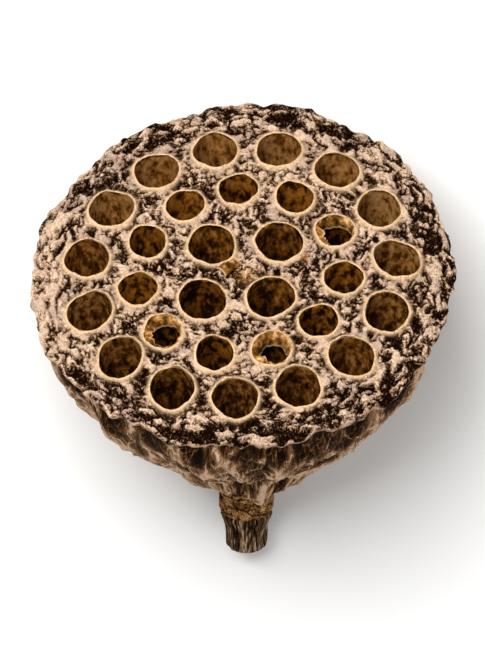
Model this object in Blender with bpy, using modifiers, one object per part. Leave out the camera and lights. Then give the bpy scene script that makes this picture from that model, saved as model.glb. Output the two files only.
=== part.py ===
"""A dried lotus pod with the cut stub of its stem, laid down on its back.

The pod is worked out upright: its face is level, +Z is the face's normal and the stem grows down, bending
towards -Y. An empty then lays the whole pod down. Units are metres.
"""

import math
import random

import bmesh
import bpy
import numpy as np
from mathutils import Matrix, Vector, noise

MM = 0.001

# Driving dimensions of the receptacle, the head that holds the seeds
RIM_RADIUS = 54.4 * MM
RIM_DROP = 2.9 * MM
HEAD_DEPTH = 73.5 * MM
BODY_SIDES = 90

# Half section of the head, as (radius, height) in millimetres: the face, the thin rim and the wall
FACE_OUTLINE = ((0.0, 0.2), (9.0, 0.2), (19.5, 0.1), (26.5, 0.0), (33.5, -0.1), (40.0, -0.3), (46.5, -0.7))
RIM_OUTLINE = ((50.6, -1.4), (53.2, -2.1), (54.4, -2.9), (53.9, -4.0))
WALL_OUTLINE = (
    (52.4, -6.0),
    (51.9, -10.0),
    (50.6, -15.0),
    (48.6, -21.0),
    (46.0, -27.5),
    (43.0, -34.0),
    (39.3, -40.5),
    (34.8, -47.0),
    (29.8, -53.0),
    (25.2, -59.0),
    (22.0, -64.5),
    (18.6, -69.0),
    (13.6, -72.2),
    (9.6, -73.5),
)

# Seed cells stand in three rings. Drying has stretched the rings along one diagonal.
CELL_RINGS = (
    {"count": 15, "radius": 40.0 * MM, "first": 100.8, "mouth": 5.8 * MM},
    {"count": 11, "radius": 26.5 * MM, "first": 92.6, "mouth": 4.95 * MM},
    {"count": 4, "radius": 12.4 * MM, "first": 132.5, "mouth": 6.1 * MM},
)
STRETCH = 1.15 * MM
STRETCH_ANGLE = 37.0
WANDER = 0.018
CELL_DEPTH = 18.5 * MM
CELL_SIDES = 14
CELL_RINGS_DOWN = 8
CELL_SPLAY = 6.0
LIP_HEIGHT = 1.3 * MM
LIP_WALL = 0.75 * MM
MOUND_WIDTH = 2.5 * MM
LIP_ROOT = 2.0 * MM

# Cells half shut by a torn skin: which cell, and where the tear lies in it, as shares of its radius
TORN_CELLS = ((17, 0.0, 0.28), (20, 0.28, 0.18), (22, 0.2, -0.22))
SKIN_THICKNESS = 0.8 * MM
SKIN_DROP = 0.9 * MM
TEAR_SHARE = 0.56
TEAR_SIDES = 9

# A curled scrap of skin on the ridge between the four middle cells
SCRAP_PLACE = (-2.6 * MM, 1.0 * MM)
SCRAP_SIZE = (5.6 * MM, 3.2 * MM, 0.8 * MM)
SCRAP_TURN = -38.0
SCRAP_LIFT = 24.0

# The wall below the rim gathers into pleats that run down to the neck
PLEATS = 14
PLEAT_HEIGHT = 3.3 * MM
FINE_PLEATS = 37
FINE_HEIGHT = 0.45 * MM
FRILL = 0.8 * MM

# The frill dies away this far inside the rim and this far below the face
FRILL_START = 0.8
FRILL_WIDTH = 0.18
FRILL_DEPTH = 26.0 * MM

# Small lumps of the shrunken tissue, and the raised net of veins on the wall
CRUMPLE = 0.45 * MM
COARSE_LUMP = 6.0 * MM
FINE_LUMP = 3.2 * MM
NET_HEIGHT = 0.9 * MM
NET_MESH = 9.0 * MM
NET_STRETCH = 0.45
NET_LINE = 0.35
PLAIN_CORE = 9.0 * MM

# One long fold of the wall hangs over the collar at the front
FOLD_ANGLE = math.radians(-79.0)
FOLD_WIDTH = math.radians(17.0)
FOLD_START = 58.0 * MM
FOLD_LENGTH = 2.4 * MM
FOLD_REACH = 0.6 * MM

# The head nods: its axis curves by this much between the face and the neck
NOD = math.radians(26.0)
NOD_POWER = 1.6
NOD_START = 2.5 * MM
NOD_STEPS = 200

# Stem: a collar with the scars of the stamens, and a stub below it
STEM_SIDES = 33
COLLAR_RADIUS = 7.3 * MM
COLLAR_LENGTH = 12.2 * MM
STUB_RADIUS = 5.4 * MM
STUB_LENGTH = 10.8 * MM
STEM_RIDGES = 11
STEM_RIDGE_HEIGHT = 0.35 * MM
SOCKET_DEPTH = 2.0 * MM
CLEARANCE = 0.35 * MM
STEM_SHIFT = 1.4 * MM

# How the pod lies: leaning back from upright, on small worn flats
LEAN_BACK = 42.0
FLAT_DEPTH = 0.9 * MM
GROUND_DEPTH = 20.0 * MM

PALE_TISSUE = (0.42, 0.29, 0.19)
STEM_BROWN = (0.33, 0.20, 0.10)


def clear_scene():
    for old in list(bpy.data.objects):
        bpy.data.objects.remove(old, do_unlink=True)


def new_collection(name):
    group = bpy.data.collections.new(name)
    bpy.context.scene.collection.children.link(group)
    return group


def dry_material(name, colour):
    material = bpy.data.materials.new(name)
    material.use_nodes = True
    shader = material.node_tree.nodes["Principled BSDF"]
    shader.inputs["Base Color"].default_value = (*colour, 1.0)
    shader.inputs["Roughness"].default_value = 0.85
    shader.inputs["Metallic"].default_value = 0.0
    return material


def turned_mesh(name, outline, sides):
    """A closed turned mesh. Its outline of (radius, height) points starts and ends on the axis."""
    mesh = bpy.data.meshes.new(name)
    points = [(radius, 0.0, height) for radius, height in outline]
    mesh.from_pydata(points, [(i, i + 1) for i in range(len(points) - 1)], [])
    guide = bpy.data.objects.new(name + "_outline", mesh)
    bpy.context.scene.collection.objects.link(guide)
    turn = guide.modifiers.new("turn", "SCREW")
    turn.axis = "Z"
    turn.steps = sides
    turn.render_steps = sides
    turn.use_merge_vertices = True
    turn.merge_threshold = 0.00001
    bpy.context.view_layer.update()
    graph = bpy.context.evaluated_depsgraph_get()
    solid = bpy.data.meshes.new_from_object(guide.evaluated_get(graph))
    bpy.data.objects.remove(guide, do_unlink=True)
    solid.name = name
    return solid


def reshape(mesh, rule):
    """Moves every point of a mesh to where rule(x, y, z) puts it."""
    for vertex in mesh.vertices:
        vertex.co = rule(*vertex.co)
    mesh.update()


def nod_centre(depth):
    """The middle of the head's axis at this depth, and how far the axis leans there."""
    run = max(HEAD_DEPTH - NOD_START, 0.0)
    share = max(depth - NOD_START, 0.0) / run
    steps = np.linspace(0.0, share, NOD_STEPS)
    lean = NOD * steps**NOD_POWER
    aside = -np.trapz(np.sin(lean), steps) * run
    down = -np.trapz(np.cos(lean), steps) * run - min(depth, NOD_START)
    return Vector((STEM_SHIFT * share**2, aside, down)), lean[-1]


def nodded(x, y, z):
    """A point of the straight head, moved to the nodding one."""
    if z >= 0.0:
        return Vector((x, y, z))
    centre, lean = nod_centre(-z)
    return centre + Vector((x, y * math.cos(lean), -y * math.sin(lean)))


def waves(angle, parts):
    """A sum of cosines: each part is (height, how many waves round, where it starts in degrees)."""
    return sum(height * math.cos(count * angle - math.radians(start)) for height, count, start in parts)


def rim_reach(angle):
    """How far the frilled rim stands beyond its mean radius."""
    oval = waves(angle, ((1.3 * MM, 1, 66.0), (1.0 * MM, 2, 72.0), (0.5 * MM, 3, -125.0)))
    return oval + FRILL * waves(angle, ((0.45, 9, 20.0), (0.45, 16, 75.0), (0.35, 25, 10.0)))


def rim_sag(angle):
    """How far the frilled rim hangs below its mean height."""
    return FRILL * waves(angle, ((0.5, 7, 0.0), (0.6, 13, 50.0), (0.4, 22, 120.0)))


def pleat(angle, share):
    """Height of the gathered wall at this angle, where share runs from 0 at the rim to 1 at the neck."""
    grow = min(1.0, share / 0.3) * (1.0 - 0.45 * max(0.0, share - 0.6) / 0.4)
    drift = 0.35 * math.sin(3.0 * angle + 2.0) + 0.25 * math.sin(2.0 * angle + 5.0 * share)
    crest = abs(math.cos(0.5 * PLEATS * angle + drift)) ** 2.5 - 0.4
    strength = 0.75 + 0.35 * math.sin(2.0 * angle + 0.8)
    fine = math.cos(FINE_PLEATS * angle + 4.0 * math.sin(2.0 * angle) + 3.0 * share)
    return grow * (PLEAT_HEIGHT * strength * crest + FINE_HEIGHT * fine)


def crumple(x, y, z):
    """Small lumps of the shrunken tissue."""
    place = Vector((x, y, z))
    return CRUMPLE * (noise.noise(place / COARSE_LUMP) + 0.6 * noise.noise(place / FINE_LUMP))


def net(angle, z):
    """Raised veins of the wall: a net drawn out from the rim to the neck."""
    girth = 0.7 * RIM_RADIUS
    place = Vector((girth * math.cos(angle), girth * math.sin(angle), z * NET_STRETCH)) / NET_MESH
    return NET_HEIGHT * max(0.0, 1.0 - abs(noise.noise(place)) / NET_LINE)


def smooth_share(value, low, high):
    """0 below low, 1 above high and a smooth rise between them."""
    share = max(0.0, min(1.0, (value - low) / (high - low)))
    return share * share * (3.0 - 2.0 * share)


def front_fold(angle, z):
    """1 at the tip of the fold that hangs over the collar, fading to 0 round it."""
    away = (angle - FOLD_ANGLE + math.pi) % (2.0 * math.pi) - math.pi
    return math.exp(-((away / FOLD_WIDTH) ** 2)) * smooth_share(-z, FOLD_START, HEAD_DEPTH)


def head_point(x, y, z):
    """A point of the plainly turned head, moved to the dried, pleated and nodding one."""
    radius = math.hypot(x, y)
    if radius <= COLLAR_RADIUS + CLEARANCE + 0.01 * MM:
        return nodded(x, y, z)
    angle = math.atan2(y, x)
    inward = (radius / RIM_RADIUS - FRILL_START) / FRILL_WIDTH
    near_rim = max(0.0, min(1.0, inward)) * max(0.0, 1.0 + z / FRILL_DEPTH)
    reach = rim_reach(angle) * near_rim
    sag = rim_sag(angle) * near_rim
    if z < RIM_OUTLINE[-1][1] * MM + 0.5 * MM:
        share = (-z - RIM_DROP) / (HEAD_DEPTH - RIM_DROP)
        taper = min(1.0, radius / (WALL_OUTLINE[-4][0] * MM))
        fold = front_fold(angle, z)
        reach += (pleat(angle, share) + net(angle, z) * min(1.0, 4.0 * share)) * taper
        reach += crumple(x, y, z) + FOLD_REACH * fold
        sag = 0.5 * sag + FOLD_LENGTH * fold
    elif radius > PLAIN_CORE and z > -RIM_DROP:
        sag -= crumple(x, y, z)
    grown = (radius + reach) / radius
    return nodded(x * grown, y * grown, z - sag)


def head_outline():
    """Half section of the head: over the face and the rim, down the wall and up into the stem's socket."""
    socket_radius = COLLAR_RADIUS + CLEARANCE
    outer = [(radius * MM, height * MM) for radius, height in FACE_OUTLINE + RIM_OUTLINE + WALL_OUTLINE]
    return outer + [
        (socket_radius, -HEAD_DEPTH),
        (socket_radius, -HEAD_DEPTH + SOCKET_DEPTH),
        (0.0, -HEAD_DEPTH + SOCKET_DEPTH),
    ]


def cell_places():
    """Each cell's (x, y, mouth radius), ring by ring, clockwise from the far side."""
    places = []
    for ring in CELL_RINGS:
        for index in range(ring["count"]):
            angle = math.radians(ring["first"]) - 2.0 * math.pi * index / ring["count"]
            radius = ring["radius"] + STRETCH * math.cos(2.0 * (angle - math.radians(STRETCH_ANGLE)))
            angle += WANDER * math.cos(2.0 * angle)
            places.append((radius * math.cos(angle), radius * math.sin(angle), ring["mouth"]))
    return places


def face_height(x, y):
    """Height of the gently domed face before it crumpled."""
    return (0.2 - 0.9 * (math.hypot(x, y) / (47.0 * MM)) ** 3) * MM


def cell_matrix(x, y):
    """Stands a piece in the cell at x, y: +Z points out of the mouth, and outer cells splay outwards."""
    distance = math.hypot(x, y)
    splay = math.radians(CELL_SPLAY) * distance / CELL_RINGS[0]["radius"]
    across = Vector((-y, x, 0.0)).normalized()
    place = Matrix.Translation((x, y, face_height(x, y)))
    return place @ Matrix.Rotation(splay, 4, across)


def cell_shape(index, angle):
    """How far a cell's outline departs from a circle: it is a little oval and a little three-cornered."""
    draw = random.Random(100 + index)
    oval, turn = draw.uniform(0.01, 0.05), draw.uniform(0.0, 360.0)
    corner, start = draw.uniform(0.0, 0.03), draw.uniform(0.0, 360.0)
    return 1.0 + waves(angle, ((oval, 2, turn), (corner, 3, start)))


def add_piece(group, name, build, matrix, index):
    """A helper solid from a bmesh primitive, made as irregular as its cell and stood at its place."""
    piece = bmesh.new()
    build(piece)
    for vertex in piece.verts:
        stretch = cell_shape(index, math.atan2(vertex.co.y, vertex.co.x))
        vertex.co.x *= stretch
        vertex.co.y *= stretch
    bmesh.ops.transform(piece, matrix=matrix, verts=piece.verts)
    mesh = bpy.data.meshes.new(name)
    piece.to_mesh(mesh)
    piece.free()
    group.objects.link(bpy.data.objects.new(name, mesh))


def add_lip(group, index, x, y, mouth):
    """The raised ring of tissue round a cell's mouth, rooted well into the head."""

    def build(piece):
        height = LIP_HEIGHT + LIP_ROOT
        bmesh.ops.create_cone(
            piece,
            cap_ends=True,
            segments=CELL_SIDES,
            radius1=mouth + LIP_WALL + MOUND_WIDTH * height / LIP_HEIGHT * 0.8,
            radius2=mouth + LIP_WALL,
            depth=height,
            matrix=Matrix.Translation((0.0, 0.0, LIP_HEIGHT - height / 2.0)),
        )

    add_piece(group, f"lip_{index + 1:02d}", build, cell_matrix(x, y), index)


def add_cup(group, index, x, y, mouth):
    """The hollow of a cell: half an egg below the mouth, and open space above it."""

    def build(piece):
        bmesh.ops.create_uvsphere(piece, u_segments=CELL_SIDES, v_segments=CELL_RINGS_DOWN, radius=1.0)
        egg = Matrix.Diagonal((mouth, mouth, CELL_DEPTH + LIP_HEIGHT, 1.0))
        raised = Matrix.Translation((0.0, 0.0, LIP_HEIGHT))
        bmesh.ops.transform(piece, matrix=raised @ egg, verts=piece.verts)

    add_piece(group, f"cup_{index + 1:02d}", build, cell_matrix(x, y), index)


def add_skin(group, index, x, y, mouth):
    """The dried skin that once shut a cell, a thin disc held in its lip."""

    def build(piece):
        bmesh.ops.create_cone(
            piece,
            cap_ends=True,
            segments=CELL_SIDES,
            radius1=mouth + LIP_WALL / 2.0,
            radius2=mouth + LIP_WALL / 2.0,
            depth=SKIN_THICKNESS,
            matrix=Matrix.Translation((0.0, 0.0, LIP_HEIGHT - SKIN_DROP)),
        )

    add_piece(group, f"skin_{index + 1:02d}", build, cell_matrix(x, y), index)


def add_tear(group, index, x, y, mouth, aside, along):
    """The ragged hole torn in a cell's skin."""

    def build(piece):
        bmesh.ops.create_cone(
            piece,
            cap_ends=True,
            segments=TEAR_SIDES,
            radius1=mouth * TEAR_SHARE,
            radius2=mouth * TEAR_SHARE,
            depth=SKIN_THICKNESS * 4.0,
            matrix=Matrix.Translation((0.0, 0.0, LIP_HEIGHT - SKIN_DROP)),
        )
        for corner, vertex in enumerate(piece.verts):
            ragged = 1.0 + 0.22 * math.sin(2.3 * (corner // 2))
            vertex.co.x = vertex.co.x * ragged + aside * mouth
            vertex.co.y = vertex.co.y * ragged + along * mouth

    add_piece(group, f"tear_{index + 1:02d}", build, cell_matrix(x, y), index)


def add_scrap(group):
    """The curled scrap of skin that stands between the middle cells."""
    piece = bmesh.new()
    bmesh.ops.create_cube(piece, size=1.0)
    turn = Matrix.Rotation(math.radians(SCRAP_TURN), 4, "Z")
    lift = Matrix.Rotation(math.radians(SCRAP_LIFT), 4, "Y")
    place = Matrix.Translation((*SCRAP_PLACE, LIP_HEIGHT))
    size = Matrix.Diagonal((*SCRAP_SIZE, 1.0))
    bmesh.ops.transform(piece, matrix=place @ turn @ lift @ size, verts=piece.verts)
    mesh = bpy.data.meshes.new("scrap")
    piece.to_mesh(mesh)
    piece.free()
    group.objects.link(bpy.data.objects.new("scrap", mesh))


def combine(target, group, operation):
    """Joins a whole collection to the target, or cuts it away, applies that, and removes the collection."""
    join = target.modifiers.new(operation.lower(), "BOOLEAN")
    join.operand_type = "COLLECTION"
    join.collection = group
    join.operation = operation
    join.solver = "EXACT"
    bpy.context.view_layer.update()
    graph = bpy.context.evaluated_depsgraph_get()
    mesh = bpy.data.meshes.new_from_object(target.evaluated_get(graph))
    target.modifiers.remove(join)
    target.data = mesh
    for piece in list(group.objects):
        bpy.data.objects.remove(piece, do_unlink=True)
    bpy.data.collections.remove(group)


def receptacle(pod, material):
    """The head: one grown body with thirty cells, raised lips, torn skins, a frilled rim and a pleated wall."""
    mesh = turned_mesh("receptacle", head_outline(), BODY_SIDES)
    reshape(mesh, head_point)
    head = bpy.data.objects.new("receptacle", mesh)
    pod.objects.link(head)
    places = cell_places()
    lips = new_collection("lips")
    for index, place in enumerate(places):
        add_lip(lips, index, *place)
    combine(head, lips, "UNION")
    cups = new_collection("cups")
    for index, place in enumerate(places):
        add_cup(cups, index, *place)
    combine(head, cups, "DIFFERENCE")
    skins = new_collection("skins")
    for index, _, _ in TORN_CELLS:
        add_skin(skins, index, *places[index])
    add_scrap(skins)
    combine(head, skins, "UNION")
    tears = new_collection("tears")
    for index, aside, along in TORN_CELLS:
        add_tear(tears, index, *places[index], aside, along)
    combine(head, tears, "DIFFERENCE")
    head.data.name = "receptacle"
    head.data.materials.clear()
    head.data.materials.append(material)
    return head


def stem_outline():
    """Half section of the stem, from inside the socket, down over the collar and its groove, to the cut."""
    top = SOCKET_DEPTH - CLEARANCE
    end = -COLLAR_LENGTH - STUB_LENGTH
    return [
        (0.0, top),
        (COLLAR_RADIUS - 0.3 * MM, top),
        (COLLAR_RADIUS, 0.0),
        (COLLAR_RADIUS, -0.22 * COLLAR_LENGTH),
        (COLLAR_RADIUS - 0.3 * MM, -0.46 * COLLAR_LENGTH),
        (COLLAR_RADIUS - 0.1 * MM, -0.68 * COLLAR_LENGTH),
        (COLLAR_RADIUS - 0.2 * MM, -0.9 * COLLAR_LENGTH),
        (STUB_RADIUS + 0.7 * MM, -COLLAR_LENGTH),
        (STUB_RADIUS + 1.3 * MM, -COLLAR_LENGTH - 0.8 * MM),
        (STUB_RADIUS + 0.6 * MM, -COLLAR_LENGTH - 2.8 * MM),
        (STUB_RADIUS, -COLLAR_LENGTH - 5.0 * MM),
        (STUB_RADIUS, end + 1.6 * MM),
        (STUB_RADIUS - 0.5 * MM, end + 0.5 * MM),
        (STUB_RADIUS - 1.4 * MM, end),
        (0.0, end),
    ]


def stem_point(x, y, z):
    """Ridges along the stub, and a slightly uneven collar."""
    radius = math.hypot(x, y)
    if radius < 1.0 * MM or z > 0.0:
        return Vector((x, y, z))
    angle = math.atan2(y, x)
    if z < -COLLAR_LENGTH:
        rise = STEM_RIDGE_HEIGHT * math.cos(STEM_RIDGES * angle + 0.5 * math.sin(3.0 * angle))
    else:
        rise = 0.12 * MM * math.sin(5.0 * angle) - 0.12 * MM
    grown = (radius + rise) / radius
    return Vector((x * grown, y * grown, z))


def stem(pod, material):
    """The collar and the cut stub, one piece, seated in the head's socket."""
    mesh = turned_mesh("stem", stem_outline(), STEM_SIDES)
    reshape(mesh, stem_point)
    mesh.shade_smooth()
    mesh.set_sharp_from_angle(angle=math.radians(35.0))
    mesh.materials.append(material)
    stalk = bpy.data.objects.new("stem", mesh)
    pod.objects.link(stalk)
    centre, lean = nod_centre(HEAD_DEPTH)
    stalk.location = centre
    stalk.rotation_euler = (-lean, 0.0, 0.0)
    return stalk


def world_bounds(pieces):
    bpy.context.view_layer.update()
    corners = [piece.matrix_world @ vertex.co for piece in pieces for vertex in piece.data.vertices]
    low = Vector([min(corner[axis] for corner in corners) for axis in range(3)])
    high = Vector([max(corner[axis] for corner in corners) for axis in range(3)])
    return low, high


def lay_down(pieces):
    """Lays the pod on its back, centred on the origin, with its lowest points a little below the ground."""
    lying = bpy.data.objects.new("lying", None)
    bpy.context.scene.collection.objects.link(lying)
    lying.rotation_euler = (math.radians(-LEAN_BACK), 0.0, 0.0)
    for piece in pieces:
        piece.parent = lying
    low, high = world_bounds(pieces)
    lying.location = (-(low.x + high.x) / 2.0, -(low.y + high.y) / 2.0, -low.z - FLAT_DEPTH)
    return lying


def wear_flat(head, cutters):
    """Cuts away what lies below the ground, which leaves the small flats that the pod rests on."""
    ground = bmesh.new()
    bmesh.ops.create_cube(ground, size=1.0)
    size = Matrix.Diagonal((4.0 * RIM_RADIUS, 4.0 * RIM_RADIUS, GROUND_DEPTH, 1.0))
    below = Matrix.Translation((0.0, 0.0, -GROUND_DEPTH / 2.0))
    bmesh.ops.transform(ground, matrix=below @ size, verts=ground.verts)
    mesh = bpy.data.meshes.new("ground")
    ground.to_mesh(mesh)
    ground.free()
    cutter = bpy.data.objects.new("ground", mesh)
    cutter.hide_render = True
    cutter.display_type = "WIRE"
    cutters.objects.link(cutter)
    wear = head.modifiers.new("worn_flat", "BOOLEAN")
    wear.object = cutter
    wear.operation = "DIFFERENCE"
    wear.solver = "EXACT"


def main():
    clear_scene()
    pod = new_collection("dried_lotus_pod")
    cutters = new_collection("cutters")
    head = receptacle(pod, dry_material("dry_tissue", PALE_TISSUE))
    stalk = stem(pod, dry_material("stem_bark", STEM_BROWN))
    lay_down((head, stalk))
    wear_flat(head, cutters)


main()
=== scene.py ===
# %% [markdown]
# A dried lotus pod, as a lesson in building a crumpled natural surface
#
# The pod was worked out as plain solids first, and this script dresses them. The fine skins are placed
# from the same few sizes, so the two agree closely.

import functools
import math
import random

import bpy
import numpy as np
from mathutils import Matrix, Vector, geometry, noise


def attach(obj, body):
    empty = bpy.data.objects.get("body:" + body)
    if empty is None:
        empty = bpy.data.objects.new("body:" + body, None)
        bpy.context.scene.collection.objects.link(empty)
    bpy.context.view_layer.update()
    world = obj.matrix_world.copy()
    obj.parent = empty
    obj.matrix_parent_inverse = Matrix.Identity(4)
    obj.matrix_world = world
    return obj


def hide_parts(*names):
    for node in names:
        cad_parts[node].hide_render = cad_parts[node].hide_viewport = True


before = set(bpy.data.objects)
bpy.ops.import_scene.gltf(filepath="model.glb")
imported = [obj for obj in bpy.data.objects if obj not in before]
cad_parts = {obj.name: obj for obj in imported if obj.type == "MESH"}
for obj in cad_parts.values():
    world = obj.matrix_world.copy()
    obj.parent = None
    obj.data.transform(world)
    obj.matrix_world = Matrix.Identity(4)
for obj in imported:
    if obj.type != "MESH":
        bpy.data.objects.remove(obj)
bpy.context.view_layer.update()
MM = 0.001

# %% [markdown]
# The pod is easiest to think about upright: its face is level, the stem grows down, and the head nods
# towards -Y as it goes down to the neck. Two small functions bend points of the straight head along the
# nodding axis and lay the whole pod on its back.

# %% Sizes of the pod
RIM_RADIUS = 54.4 * MM
RIM_DROP = 2.9 * MM
HEAD_DEPTH = 73.5 * MM
NOD = math.radians(26.0)
NOD_POWER = 1.6
NOD_START = 2.5 * MM
NOD_REACH = 1.5
NOD_STEPS = 600
STEM_SHIFT = 1.4 * MM
LEAN_BACK = math.radians(42.0)
LYING_PLACE = Vector((-0.54 * MM, 20.29 * MM, 61.11 * MM))
LYING = Matrix.Translation(LYING_PLACE) @ Matrix.Rotation(-LEAN_BACK, 4, "X")
COLLAR_RADIUS = 7.3 * MM
STUB_RADIUS = 5.4 * MM
SOCKET_DEPTH = 2.0 * MM
CLEARANCE = 0.35 * MM


def nod_table():
    """Depth along the axis, and the axis's place and lean there."""
    depth = np.linspace(0.0, HEAD_DEPTH * NOD_REACH, NOD_STEPS)
    share = np.clip(depth - NOD_START, 0.0, HEAD_DEPTH - NOD_START) / (HEAD_DEPTH - NOD_START)
    lean = NOD * share**NOD_POWER
    step = np.diff(depth, prepend=0.0)
    aside = -np.cumsum(np.sin(lean) * step)
    down = -np.cumsum(np.cos(lean) * step)
    return depth, STEM_SHIFT * share**2, aside, down, lean


NOD_TABLE = nod_table()


def axis_at(depth):
    """The axis's place and lean at this depth."""
    return [np.interp(depth, NOD_TABLE[0], column) for column in NOD_TABLE[1:]]


def nodded(points):
    """Bends points of the straight head along the nodding axis."""
    right, aside, down, lean = axis_at(np.maximum(-points[:, 2], 0.0))
    x = right + points[:, 0]
    y = aside + points[:, 1] * np.cos(lean)
    z = down - points[:, 1] * np.sin(lean) + np.maximum(points[:, 2], 0.0)
    return np.column_stack([x, y, z])


def laid(points):
    """Lays upright points down on the floor. What would be under the floor is pressed flat."""
    moved = points @ np.array(LYING.to_3x3()).T + np.array(LYING_PLACE)
    moved[:, 2] = np.maximum(moved[:, 2], 0.0)
    return moved


print("neck of the head, upright:", nodded(np.array([[0.0, 0.0, -HEAD_DEPTH]])).round(4))

# %% [markdown]
# The same few shapes come back all through: a smooth step, a bell round a place, and points on a circle.

# %% Small helpers
def add_object(name, data):
    made = bpy.data.objects.new(name, data)
    bpy.context.scene.collection.objects.link(made)
    return made


def smooth_step(low, high, value):
    share = np.clip((value - low) / (high - low), 0.0, 1.0)
    return share * share * (3.0 - 2.0 * share)


def bell(distance, width):
    """1 at no distance, falling smoothly to 0 a few widths away."""
    return np.exp(-((distance / width) ** 2))


def turned_from(place, angle):
    """How far each angle is from this one, the short way round."""
    return (angle - place + math.pi) % (2.0 * math.pi) - math.pi


def circle(radius, angle):
    """Points in the plane at this radius and these angles."""
    return np.column_stack([radius * np.cos(angle), radius * np.sin(angle)])


def circle_at(height, radius, angle):
    """The same points at this height."""
    return np.column_stack([circle(radius, angle), np.broadcast_to(height, angle.shape)])


print("helpers ready")

# %% [markdown]
# The photograph was taken from far away with a long lens, 55 degrees above the level of the face. The
# camera stands there over the upright pod and is laid down with it, so it now looks almost straight down.

# %% Camera
PHOTO_SIZE = (485, 650)
FACE_IN_PHOTO = (241.0, 273.4)
CAMERA_DISTANCE = 3000.0 * MM
FOCAL_PIXELS = 11600.0
SIGHT_ELEVATION = math.radians(54.9)
SENSOR_HEIGHT_MM = 36.0
SEEN_DISTANCE = 20.0

toward_camera = Vector((0.0, -math.cos(SIGHT_ELEVATION), math.sin(SIGHT_ELEVATION)))
picture_up = Vector((0.0, math.sin(SIGHT_ELEVATION), math.cos(SIGHT_ELEVATION)))
picture_right = Vector((1.0, 0.0, 0.0))
pixel_size = CAMERA_DISTANCE / FOCAL_PIXELS
right_by = (PHOTO_SIZE[0] / 2 - FACE_IN_PHOTO[0]) * pixel_size
down_by = (PHOTO_SIZE[1] / 2 - FACE_IN_PHOTO[1]) * pixel_size
stand = toward_camera * CAMERA_DISTANCE + picture_right * right_by - picture_up * down_by

camera_data = bpy.data.cameras.new("camera")
camera_data.sensor_fit = "VERTICAL"
camera_data.sensor_height = SENSOR_HEIGHT_MM
camera_data.lens = FOCAL_PIXELS / PHOTO_SIZE[1] * SENSOR_HEIGHT_MM
camera_data.clip_end = SEEN_DISTANCE
camera = add_object("camera", camera_data)
axes = Matrix((picture_right, picture_up, toward_camera)).transposed().to_4x4()
camera.matrix_world = LYING @ Matrix.Translation(stand) @ axes
bpy.context.scene.camera = camera
print("camera at", [round(value, 3) for value in camera.matrix_world.translation])

# %% [markdown]
# The seed cells stand in three rings of 15, 11 and 4. Drying has stretched the rings along one diagonal.
# Each mouth is a little oval and a little three-cornered, with a few kinks. Seeded random draws give each
# cell its own outline. The linings get painted shade with blotches of dark stain: more in the two inner
# rings and in the cells near the viewer, and most in those that are half shut.

# %% Seed cells
# The last value of each ring is how much painted shade, with dark stain, its linings get.
CELL_RINGS = (
    {"count": 15, "radius": 40.0 * MM, "first": 100.8, "mouth": 5.8 * MM, "amber": 0.15, "shade_and_stain": 0.3},
    {"count": 11, "radius": 26.5 * MM, "first": 92.6, "mouth": 4.95 * MM, "amber": 0.6, "shade_and_stain": 0.8},
    {"count": 4, "radius": 12.4 * MM, "first": 132.5, "mouth": 6.1 * MM, "amber": 0.35, "shade_and_stain": 0.8},
)
STRETCH = 1.15 * MM
STRETCH_ANGLE = math.radians(37.0)
WANDER = 0.018
CELL_DEPTH = 18.5 * MM
CELL_SPLAY = math.radians(6.0)
LIP_HEIGHT = 1.3 * MM
CELL_SEED = 100
OVALS = (0.01, 0.05)
CORNERS = (0.0, 0.03)
TURNS = (0.0, 360.0)
AMBER_SPREAD = (0.5, 1.3)
# Spread of each cell's painted shade and dark stain, more painted shade nearer the viewer, and the most for
# the half shut cells.
SHADE_AND_STAIN_SPREAD = (0.5, 1.2)
SHADE_NEAR = 0.3
SHUT_CELLS = (17, 20, 22)
SHUT_SHADE_AND_STAIN = 1.5
KINK_SEED = 500
KINKS = 3
KINK_SIZES = (0.005, 0.055)
KINK_WIDTH = 0.24
DOME_TOP = 0.2 * MM
DOME_FALL = 0.9 * MM
DOME_REACH = 47.0 * MM


def face_height(x, y):
    """Height of the gently domed face before it crumpled."""
    return DOME_TOP - DOME_FALL * (np.hypot(x, y) / DOME_REACH) ** 3


def make_cell(index, ring, place):
    """A cell's centre, mouth radius, splay, outline and kinks, how amber it is, and its lining's painted
    shade and stain.
    """
    angle = math.radians(ring["first"]) - 2.0 * math.pi * place / ring["count"]
    radius = ring["radius"] + STRETCH * math.cos(2.0 * (angle - STRETCH_ANGLE))
    angle += WANDER * math.cos(2.0 * angle)
    draw = random.Random(CELL_SEED + index)
    cell = {"x": radius * math.cos(angle), "y": radius * math.sin(angle), "mouth": ring["mouth"]}
    cell["splay"] = CELL_SPLAY * radius / CELL_RINGS[0]["radius"]
    cell["oval"] = (draw.uniform(*OVALS), math.radians(draw.uniform(*TURNS)))
    cell["corner"] = (draw.uniform(*CORNERS), math.radians(draw.uniform(*TURNS)))
    cell["amber"] = ring["amber"] * draw.uniform(*AMBER_SPREAD)
    # The lining's painted shade and dark stain: more for the cells near the viewer, most for the half shut
    # ones.
    cell["shade_and_stain"] = ring["shade_and_stain"] * draw.uniform(*SHADE_AND_STAIN_SPREAD) - SHADE_NEAR * math.sin(angle)
    if index in SHUT_CELLS:
        cell["shade_and_stain"] = SHUT_SHADE_AND_STAIN
    draw = random.Random(KINK_SEED + index)
    cell["kinks"] = [(draw.uniform(-math.pi, math.pi), draw.uniform(*KINK_SIZES)) for _ in range(KINKS)]
    return cell


CELL_PLACES = [(ring, place) for ring in CELL_RINGS for place in range(ring["count"])]
CELLS = [make_cell(index, ring, place) for index, (ring, place) in enumerate(CELL_PLACES)]


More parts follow.
